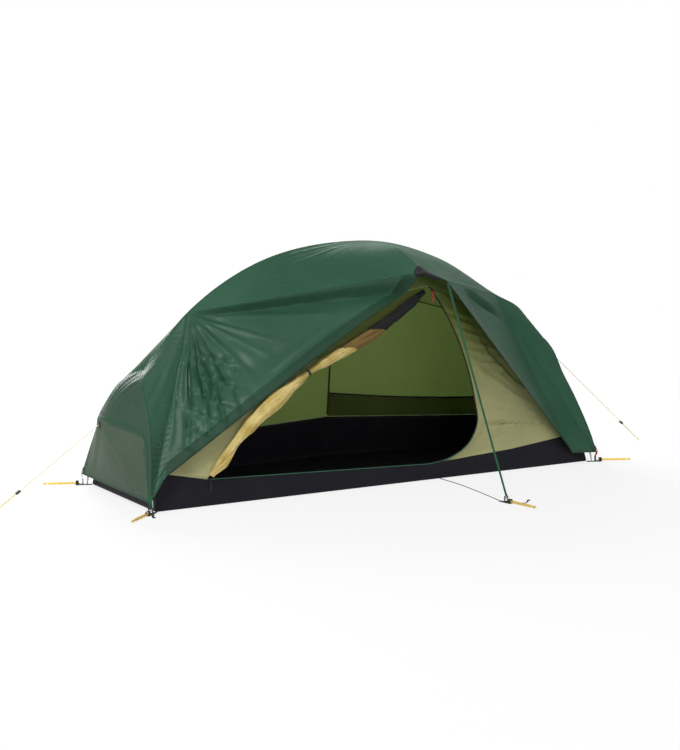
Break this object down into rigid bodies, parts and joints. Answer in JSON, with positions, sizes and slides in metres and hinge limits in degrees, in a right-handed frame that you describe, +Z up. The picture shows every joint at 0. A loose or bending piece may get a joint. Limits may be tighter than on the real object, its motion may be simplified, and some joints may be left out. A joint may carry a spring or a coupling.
{
  "type": "one-person tent",
  "caption": "Low single-sleeper tent pitched with its door open: sewn flysheet over a hubbed pole frame, inner tent with tray floor, guy lines and pegs",
  "frame": {"origin": "centre of the floor's underside, on the ground", "axes": "+X along the tent towards its higher end, +Y away from the door, +Z up"},
  "size_m": [3.373, 1.7014, 1.046],
  "materials": {
    "fly_fabric": "tightly woven coated fabric, slight sheen",
    "fly_end_fabric": "tightly woven coated fabric, slight sheen",
    "inner_fabric": "thin breathable woven fabric, matte",
    "inner_mesh": "fine netting, matte",
    "rolled_door_fabric": "thin woven fabric and netting rolled together, matte",
    "groundsheet": "coated woven groundsheet, low sheen",
    "black_webbing": "flat woven webbing, matte",
    "green_webbing": "flat woven webbing, matte",
    "black_plastic": "moulded nylon, satin",
    "pole_alloy": "anodised tube, satin",
    "gold_alloy": "gold anodised extrusion, satin",
    "guy_cord": "braided cord, matte",
    "red_cord": "woven cord, matte"
  },
  "bodies": {
    "root": {"back_strap": "black_webbing", "centre_hub": "black_plastic", "corner_strap_back_left": "black_webbing", "corner_strap_back_right": "black_webbing", "corner_strap_front_left": "black_webbing", "corner_strap_front_right": "black_webbing", "cross_bar": "pole_alloy", "door_zip": "black_webbing", "floor_cord": "black_webbing", "fly_back_left": "fly_fabric", "fly_back_right": "fly_fabric", "fly_end_left": "fly_end_fabric", "fly_end_right": "fly_end_fabric", "fly_front_left": "fly_fabric", "fly_front_right": "fly_fabric", "fly_hood": "black_webbing", "fly_roof_back_left": "fly_fabric", "fly_roof_back_right": "fly_fabric", "fly_roof_front_left": "fly_fabric", "fly_roof_front_right": "fly_fabric", "fly_shoulder_left": "fly_fabric", "fly_shoulder_right": "fly_fabric", "guy_line_left": "guy_cord", "guy_line_right": "guy_cord", "hub_left": "black_plastic", "hub_right": "black_plastic", "inner_back": "inner_fabric", "inner_door_roll": "rolled_door_fabric", "inner_end_left": "inner_fabric", "inner_end_right": "inner_fabric", "inner_front_left": "inner_fabric", "inner_front_right": "inner_fabric", "inner_roof": "inner_mesh", "leg_back_left": "pole_alloy", "leg_back_right": "pole_alloy", "leg_front_left": "pole_alloy", "leg_front_right": "pole_alloy", "ridge_pole_left": "pole_alloy", "ridge_pole_right": "pole_alloy", "storage_pocket": "inner_mesh", "tub_floor": "groundsheet", "vestibule_loop": "black_webbing", "vestibule_strap": "green_webbing"},
    "buckle_front_left": {"buckle_front_left": "black_plastic"},
    "peg_front_left": {"peg_front_left": "gold_alloy"},
    "buckle_back_left": {"buckle_back_left": "black_plastic"},
    "peg_back_left": {"peg_back_left": "gold_alloy"},
    "buckle_front_right": {"buckle_front_right": "black_plastic"},
    "peg_front_right": {"peg_front_right": "gold_alloy"},
    "buckle_back_right": {"buckle_back_right": "black_plastic"},
    "peg_back_right": {"peg_back_right": "gold_alloy"},
    "vestibule_buckle": {"vestibule_buckle": "black_plastic"},
    "vestibule_peg": {"vestibule_peg": "gold_alloy"},
    "back_peg": {"back_peg": "gold_alloy"},
    "guy_tensioner_left": {"guy_tensioner_left": "black_plastic"},
    "guy_tensioner_right": {"guy_tensioner_right": "black_plastic"},
    "zip_slider_lower": {"zip_slider_lower": "black_plastic"},
    "zip_pull_lower": {"zip_pull_lower": "black_webbing"},
    "zip_slider_upper": {"zip_slider_upper": "black_plastic"},
    "zip_pull_upper": {"zip_pull_upper": "red_cord"}
  },
  "joints": [
    {"name": "buckle_front_left_tilt", "type": "hinge", "parent": "root", "child": "buckle_front_left", "pos_m": [-1.13159, -0.35781, 0.0056], "axis": [0.6559, -0.7549, 0], "range_deg": [-10, 35]},
    {"name": "peg_front_left_draw", "type": "slide", "parent": "root", "child": "peg_front_left", "axis": [-0.7549, -0.6559, 0], "range_m": [0, 0.1]},
    {"name": "buckle_back_left_tilt", "type": "hinge", "parent": "root", "child": "buckle_back_left", "pos_m": [-1.13457, 0.35302, 0.0056], "axis": [-0.3903, -0.9207, 0], "range_deg": [-10, 35]},
    {"name": "peg_back_left_draw", "type": "slide", "parent": "root", "child": "peg_back_left", "axis": [-0.9207, 0.3903, 0], "range_m": [0, 0.1]},
    {"name": "buckle_front_right_tilt", "type": "hinge", "parent": "root", "child": "buckle_front_right", "pos_m": [1.13424, -0.35376, 0.0056], "axis": [0.4311, 0.9023, 0], "range_deg": [-10, 35]},
    {"name": "peg_front_right_draw", "type": "slide", "parent": "root", "child": "peg_front_right", "axis": [0.9023, -0.4311, 0], "range_m": [0, 0.1]},
    {"name": "buckle_back_right_tilt", "type": "hinge", "parent": "root", "child": "buckle_back_right", "pos_m": [1.13327, 0.35552, 0.0056], "axis": [-0.5291, 0.8486, 0], "range_deg": [-10, 35]},
    {"name": "peg_back_right_draw", "type": "slide", "parent": "root", "child": "peg_back_right", "axis": [0.8486, 0.5291, 0], "range_m": [0, 0.1]},
    {"name": "vestibule_buckle_tilt", "type": "hinge", "parent": "root", "child": "vestibule_buckle", "pos_m": [0.19797, -0.88989, 0.0056], "axis": [0.994, 0.1093, 0], "range_deg": [-10, 35]},
    {"name": "vestibule_peg_draw", "type": "slide", "parent": "root", "child": "vestibule_peg", "axis": [0.1093, -0.994, 0], "range_m": [0, 0.1]},
    {"name": "back_peg_draw", "type": "slide", "parent": "root", "child": "back_peg", "axis": [0, 1, 0], "range_m": [0, 0.1]},
    {"name": "guy_tensioner_left_slide", "type": "slide", "parent": "root", "child": "guy_tensioner_left", "axis": [-0.8169, 0, -0.5768], "range_m": [-0.01, 0.06]},
    {"name": "guy_tensioner_right_slide", "type": "slide", "parent": "root", "child": "guy_tensioner_right", "axis": [0.7735, 0, -0.6338], "range_m": [-0.01, 0.085]},
    {"name": "zip_slider_lower_run", "type": "slide", "parent": "root", "child": "zip_slider_lower", "axis": [0.9994, 0, -0.0354], "range_m": [0, 1.03]},
    {"name": "zip_pull_lower_swing", "type": "hinge", "parent": "zip_slider_lower", "child": "zip_pull_lower", "pos_m": [-0.86101, -0.3382, 0.11012], "axis": [1, 0, 0], "range_deg": [-100, 0]},
    {"name": "zip_slider_upper_run", "type": "hinge", "parent": "root", "child": "zip_slider_upper", "pos_m": [-0.68026, -0.3294, 0.10332], "axis": [0, 1, 0], "range_deg": [0, 30]},
    {"name": "zip_pull_upper_swing", "type": "hinge", "parent": "zip_slider_upper", "child": "zip_pull_upper", "pos_m": [0.21363, -0.3382, 0.83001], "axis": [1, 0, 0], "range_deg": [-150, 0]}
  ]
}
